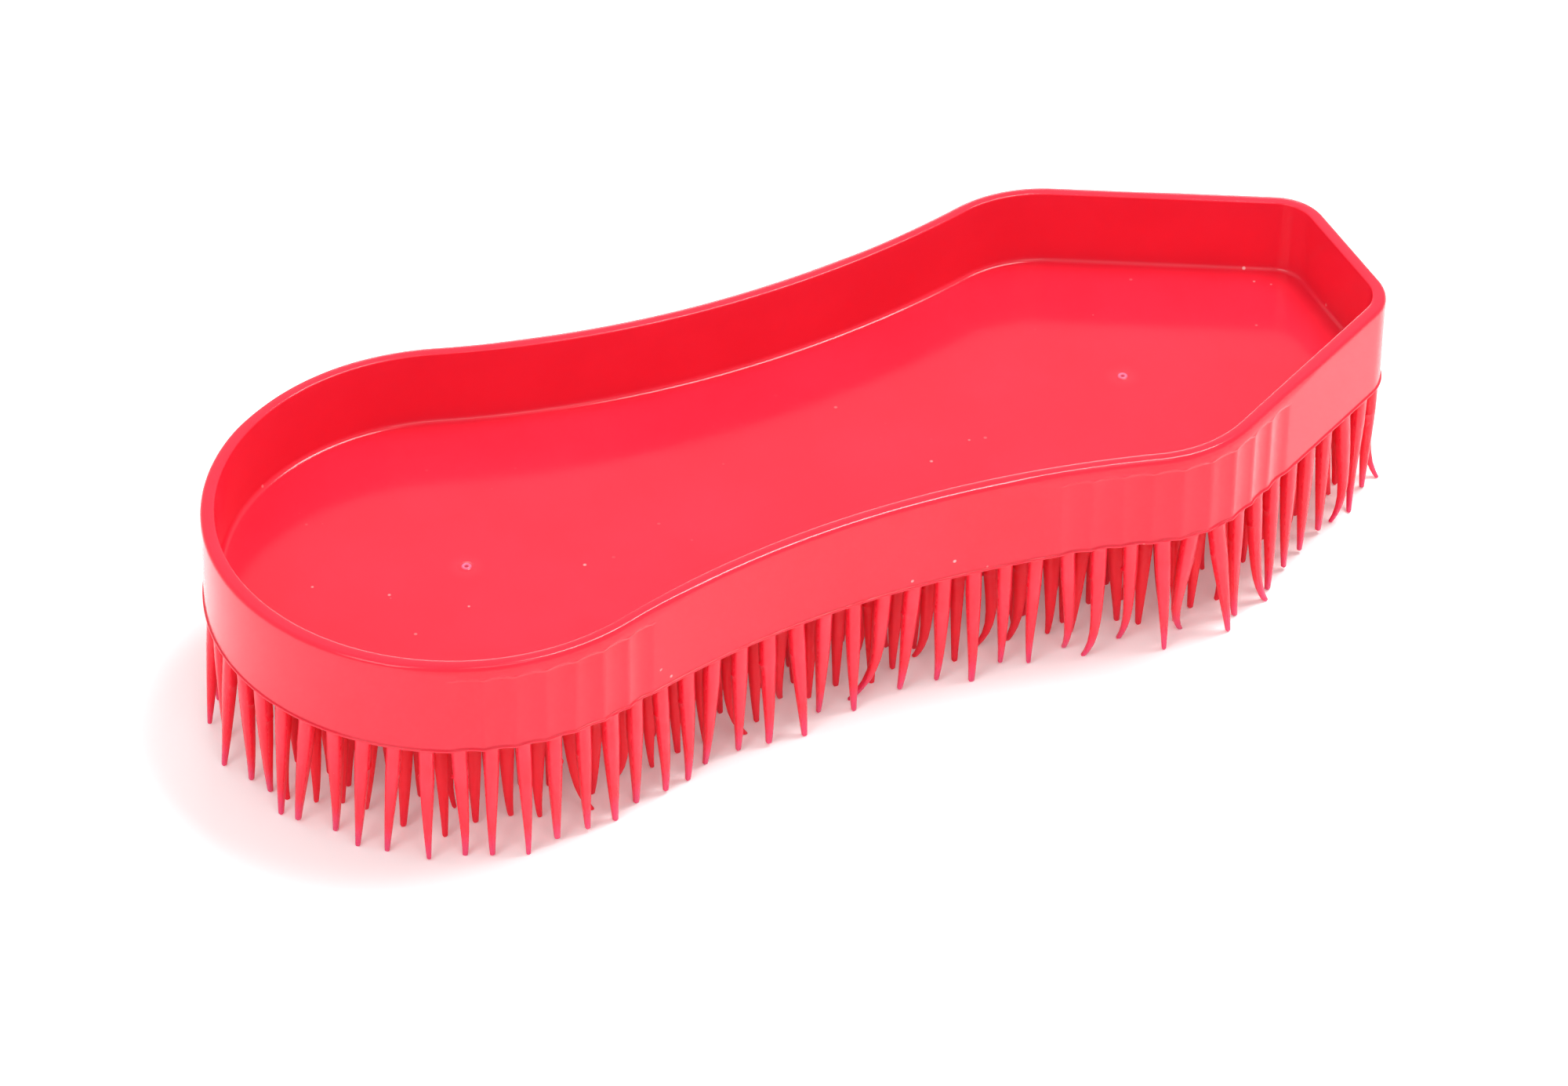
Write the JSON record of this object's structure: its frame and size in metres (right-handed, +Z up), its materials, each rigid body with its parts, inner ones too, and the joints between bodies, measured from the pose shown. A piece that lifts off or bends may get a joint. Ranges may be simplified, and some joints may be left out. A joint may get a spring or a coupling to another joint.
{
  "type": "curry brush",
  "caption": "Soft rubber grooming brush: a waisted, open-topped palm tray over cross rows of tapered pins that flex at their roots.",
  "frame": {"origin": "under the middle of the tray, on the plane of the pin tips that the brush stands on", "axes": "+X along the brush from its round end to its flat end, +Y across it, +Z up out of the open tray"},
  "size_m": [0.185, 0.0744, 0.0362],
  "materials": {
    "tray_rubber": "satin, smooth from a polished mould",
    "pin_rubber": "satin, smooth, paler towards the tips"
  },
  "bodies": {
    "tray": {"tray_shell": "tray_rubber"},
    "pin_row_01": {"pin_row_01": "pin_rubber"},
    "pin_row_02": {"pin_row_02": "pin_rubber"},
    "pin_row_03": {"pin_row_03": "pin_rubber"},
    "pin_row_04": {"pin_row_04": "pin_rubber"},
    "pin_row_05": {"pin_row_05": "pin_rubber"},
    "pin_row_06": {"pin_row_06": "pin_rubber"},
    "pin_row_07": {"pin_row_07": "pin_rubber"},
    "pin_row_08": {"pin_row_08": "pin_rubber"},
    "pin_row_09": {"pin_row_09": "pin_rubber"},
    "pin_row_10": {"pin_row_10": "pin_rubber"},
    "pin_row_11": {"pin_row_11": "pin_rubber"},
    "pin_row_12": {"pin_row_12": "pin_rubber"},
    "pin_row_13": {"pin_row_13": "pin_rubber"},
    "pin_row_14": {"pin_row_14": "pin_rubber"},
    "pin_row_15": {"pin_row_15": "pin_rubber"},
    "pin_row_16": {"pin_row_16": "pin_rubber"},
    "pin_row_17": {"pin_row_17": "pin_rubber"},
    "pin_row_18": {"pin_row_18": "pin_rubber"},
    "pin_row_19": {"pin_row_19": "pin_rubber"},
    "pin_row_20": {"pin_row_20": "pin_rubber"},
    "pin_row_21": {"pin_row_21": "pin_rubber"},
    "pin_row_22": {"pin_row_22": "pin_rubber"},
    "pin_row_23": {"pin_row_23": "pin_rubber"},
    "pin_row_24": {"pin_row_24": "pin_rubber"},
    "pin_row_25": {"pin_row_25": "pin_rubber"},
    "pin_row_26": {"pin_row_26": "pin_rubber"},
    "pin_row_27": {"pin_row_27": "pin_rubber"},
    "pin_row_28": {"pin_row_28": "pin_rubber"},
    "pin_row_29": {"pin_row_29": "pin_rubber"},
    "pin_row_30": {"pin_row_30": "pin_rubber"},
    "pin_row_31": {"pin_row_31": "pin_rubber"},
    "pin_row_32": {"pin_row_32": "pin_rubber"},
    "pin_row_33": {"pin_row_33": "pin_rubber"},
    "pin_row_34": {"pin_row_34": "pin_rubber"},
    "pin_row_35": {"pin_row_35": "pin_rubber"},
    "pin_row_36": {"pin_row_36": "pin_rubber"},
    "pin_row_37": {"pin_row_37": "pin_rubber"},
    "pin_row_38": {"pin_row_38": "pin_rubber"},
    "pin_row_39": {"pin_row_39": "pin_rubber"},
    "pin_row_40": {"pin_row_40": "pin_rubber"},
    "pin_row_41": {"pin_row_41": "pin_rubber"}
  },
  "joints": [
    {"name": "pin_row_01_flex", "type": "hinge", "parent": "tray", "child": "pin_row_01", "pos_m": [-0.08895, 0, 0.0215], "axis": [0, 1, 0], "range_deg": [-10, 10], "stiffness_Nm_per_rad": 0.0048},
    {"name": "pin_row_02_flex", "type": "hinge", "parent": "tray", "child": "pin_row_02", "pos_m": [-0.08405, 0, 0.0215], "axis": [0, 1, 0], "range_deg": [-10, 10], "stiffness_Nm_per_rad": 0.0024},
    {"name": "pin_row_03_flex", "type": "hinge", "parent": "tray", "child": "pin_row_03", "pos_m": [-0.08102, 0, 0.0215], "axis": [0, 1, 0], "range_deg": [-10, 10], "stiffness_Nm_per_rad": 0.0028},
    {"name": "pin_row_04_flex", "type": "hinge", "parent": "tray", "child": "pin_row_04", "pos_m": [-0.07756, 0, 0.0215], "axis": [0, 1, 0], "range_deg": [-10, 10], "stiffness_Nm_per_rad": 0.0032},
    {"name": "pin_row_05_flex", "type": "hinge", "parent": "tray", "child": "pin_row_05", "pos_m": [-0.07373, 0, 0.0215], "axis": [0, 1, 0], "range_deg": [-10, 10], "stiffness_Nm_per_rad": 0.0036},
    {"name": "pin_row_06_flex", "type": "hinge", "parent": "tray", "child": "pin_row_06", "pos_m": [-0.0696, 0, 0.0215], "axis": [0, 1, 0], "range_deg": [-10, 10], "stiffness_Nm_per_rad": 0.004},
    {"name": "pin_row_07_flex", "type": "hinge", "parent": "tray", "child": "pin_row_07", "pos_m": [-0.06522, 0, 0.0215], "axis": [0, 1, 0], "range_deg": [-10, 10], "stiffness_Nm_per_rad": 0.0044},
    {"name": "pin_row_08_flex", "type": "hinge", "parent": "tray", "child": "pin_row_08", "pos_m": [-0.06068, 0, 0.0215], "axis": [0, 1, 0], "range_deg": [-10, 10], "stiffness_Nm_per_rad": 0.0048},
    {"name": "pin_row_09_flex", "type": "hinge", "parent": "tray", "child": "pin_row_09", "pos_m": [-0.05605, 0, 0.0215], "axis": [0, 1, 0], "range_deg": [-10, 10], "stiffness_Nm_per_rad": 0.0052},
    {"name": "pin_row_10_flex", "type": "hinge", "parent": "tray", "child": "pin_row_10", "pos_m": [-0.05141, 0, 0.0215], "axis": [0, 1, 0], "range_deg": [-10, 10], "stiffness_Nm_per_rad": 0.0056},
    {"name": "pin_row_11_flex", "type": "hinge", "parent": "tray", "child": "pin_row_11", "pos_m": [-0.04683, 0, 0.0215], "axis": [0, 1, 0], "range_deg": [-10, 10], "stiffness_Nm_per_rad": 0.006},
    {"name": "pin_row_12_flex", "type": "hinge", "parent": "tray", "child": "pin_row_12", "pos_m": [-0.04231, 0, 0.0215], "axis": [0, 1, 0], "range_deg": [-10, 10], "stiffness_Nm_per_rad": 0.0056},
    {"name": "pin_row_13_flex", "type": "hinge", "parent": "tray", "child": "pin_row_13", "pos_m": [-0.03767, 0, 0.0215], "axis": [0, 1, 0], "range_deg": [-10, 10], "stiffness_Nm_per_rad": 0.006},
    {"name": "pin_row_14_flex", "type": "hinge", "parent": "tray", "child": "pin_row_14", "pos_m": [-0.03298, 0, 0.0215], "axis": [0, 1, 0], "range_deg": [-10, 10], "stiffness_Nm_per_rad": 0.0056},
    {"name": "pin_row_15_flex", "type": "hinge", "parent": "tray", "child": "pin_row_15", "pos_m": [-0.02825, 0, 0.0215], "axis": [0, 1, 0], "range_deg": [-10, 10], "stiffness_Nm_per_rad": 0.0052},
    {"name": "pin_row_16_flex", "type": "hinge", "parent": "tray", "child": "pin_row_16", "pos_m": [-0.02349, 0, 0.0215], "axis": [0, 1, 0], "range_deg": [-10, 10], "stiffness_Nm_per_rad": 0.0056},
    {"name": "pin_row_17_flex", "type": "hinge", "parent": "tray", "child": "pin_row_17", "pos_m": [-0.0187, 0, 0.0215], "axis": [0, 1, 0], "range_deg": [-10, 10], "stiffness_Nm_per_rad": 0.0052},
    {"name": "pin_row_18_flex", "type": "hinge", "parent": "tray", "child": "pin_row_18", "pos_m": [-0.01388, 0, 0.0215], "axis": [0, 1, 0], "range_deg": [-10, 10], "stiffness_Nm_per_rad": 0.0048},
    {"name": "pin_row_19_flex", "type": "hinge", "parent": "tray", "child": "pin_row_19", "pos_m": [-0.00905, 0, 0.0215], "axis": [0, 1, 0], "range_deg": [-10, 10], "stiffness_Nm_per_rad": 0.0052},
    {"name": "pin_row_20_flex", "type": "hinge", "parent": "tray", "child": "pin_row_20", "pos_m": [-0.00421, 0, 0.0215], "axis": [0, 1, 0], "range_deg": [-10, 10], "stiffness_Nm_per_rad": 0.0048},
    {"name": "pin_row_21_flex", "type": "hinge", "parent": "tray", "child": "pin_row_21", "pos_m": [0.00063, 0, 0.0215], "axis": [0, 1, 0], "range_deg": [-10, 10], "stiffness_Nm_per_rad": 0.0052},
    {"name": "pin_row_22_flex", "type": "hinge", "parent": "tray", "child": "pin_row_22", "pos_m": [0.00547, 0, 0.0215], "axis": [0, 1, 0], "range_deg": [-10, 10], "stiffness_Nm_per_rad": 0.0048},
    {"name": "pin_row_23_flex", "type": "hinge", "parent": "tray", "child": "pin_row_23", "pos_m": [0.01031, 0, 0.0215], "axis": [0, 1, 0], "range_deg": [-10, 10], "stiffness_Nm_per_rad": 0.0052},
    {"name": "pin_row_24_flex", "type": "hinge", "parent": "tray", "child": "pin_row_24", "pos_m": [0.01513, 0, 0.0215], "axis": [0, 1, 0], "range_deg": [-10, 10], "stiffness_Nm_per_rad": 0.0048},
    {"name": "pin_row_25_flex", "type": "hinge", "parent": "tray", "child": "pin_row_25", "pos_m": [0.01995, 0, 0.0215], "axis": [0, 1, 0], "range_deg": [-10, 10], "stiffness_Nm_per_rad": 0.0052},
    {"name": "pin_row_26_flex", "type": "hinge", "parent": "tray", "child": "pin_row_26", "pos_m": [0.02474, 0, 0.0215], "axis": [0, 1, 0], "range_deg": [-10, 10], "stiffness_Nm_per_rad": 0.0056},
    {"name": "pin_row_27_flex", "type": "hinge", "parent": "tray", "child": "pin_row_27", "pos_m": [0.0295, 0, 0.0215], "axis": [0, 1, 0], "range_deg": [-10, 10], "stiffness_Nm_per_rad": 0.0052},
    {"name": "pin_row_28_flex", "type": "hinge", "parent": "tray", "child": "pin_row_28", "pos_m": [0.03424, 0, 0.0215], "axis": [0, 1, 0], "range_deg": [-10, 10], "stiffness_Nm_per_rad": 0.0056},
    {"name": "pin_row_29_flex", "type": "hinge", "parent": "tray", "child": "pin_row_29", "pos_m": [0.03895, 0, 0.0215], "axis": [0, 1, 0], "range_deg": [-10, 10], "stiffness_Nm_per_rad": 0.0052},
    {"name": "pin_row_30_flex", "type": "hinge", "parent": "tray", "child": "pin_row_30", "pos_m": [0.04357, 0, 0.0215], "axis": [0, 1, 0], "range_deg": [-10, 10], "stiffness_Nm_per_rad": 0.0056},
    {"name": "pin_row_31_flex", "type": "hinge", "parent": "tray", "child": "pin_row_31", "pos_m": [0.04806, 0, 0.0215], "axis": [0, 1, 0], "range_deg": [-10, 10], "stiffness_Nm_per_rad": 0.006},
    {"name": "pin_row_32_flex", "type": "hinge", "parent": "tray", "child": "pin_row_32", "pos_m": [0.05255, 0, 0.0215], "axis": [0, 1, 0], "range_deg": [-10, 10], "stiffness_Nm_per_rad": 0.0056},
    {"name": "pin_row_33_flex", "type": "hinge", "parent": "tray", "child": "pin_row_33", "pos_m": [0.05681, 0, 0.0215], "axis": [0, 1, 0], "range_deg": [-10, 10], "stiffness_Nm_per_rad": 0.0052},
    {"name": "pin_row_34_flex", "type": "hinge", "parent": "tray", "child": "pin_row_34", "pos_m": [0.061, 0, 0.0215], "axis": [0, 1, 0], "range_deg": [-10, 10], "stiffness_Nm_per_rad": 0.0048},
    {"name": "pin_row_35_flex", "type": "hinge", "parent": "tray", "child": "pin_row_35", "pos_m": [0.06522, 0, 0.0215], "axis": [0, 1, 0], "range_deg": [-10, 10], "stiffness_Nm_per_rad": 0.0044},
    {"name": "pin_row_36_flex", "type": "hinge", "parent": "tray", "child": "pin_row_36", "pos_m": [0.06945, 0, 0.0215], "axis": [0, 1, 0], "range_deg": [-10, 10], "stiffness_Nm_per_rad": 0.004},
    {"name": "pin_row_37_flex", "type": "hinge", "parent": "tray", "child": "pin_row_37", "pos_m": [0.07367, 0, 0.0215], "axis": [0, 1, 0], "range_deg": [-10, 10], "stiffness_Nm_per_rad": 0.0036},
    {"name": "pin_row_38_flex", "type": "hinge", "parent": "tray", "child": "pin_row_38", "pos_m": [0.0779, 0, 0.0215], "axis": [0, 1, 0], "range_deg": [-10, 10], "stiffness_Nm_per_rad": 0.0032},
    {"name": "pin_row_39_flex", "type": "hinge", "parent": "tray", "child": "pin_row_39", "pos_m": [0.08212, 0, 0.0215], "axis": [0, 1, 0], "range_deg": [-10, 10], "stiffness_Nm_per_rad": 0.0028},
    {"name": "pin_row_40_flex", "type": "hinge", "parent": "tray", "child": "pin_row_40", "pos_m": [0.08635, 0, 0.0215], "axis": [0, 1, 0], "range_deg": [-10, 10], "stiffness_Nm_per_rad": 0.0024},
    {"name": "pin_row_41_flex", "type": "hinge", "parent": "tray", "child": "pin_row_41", "pos_m": [0.09055, 0, 0.0215], "axis": [0, 1, 0], "range_deg": [-10, 10], "stiffness_Nm_per_rad": 0.0028}
  ]
}
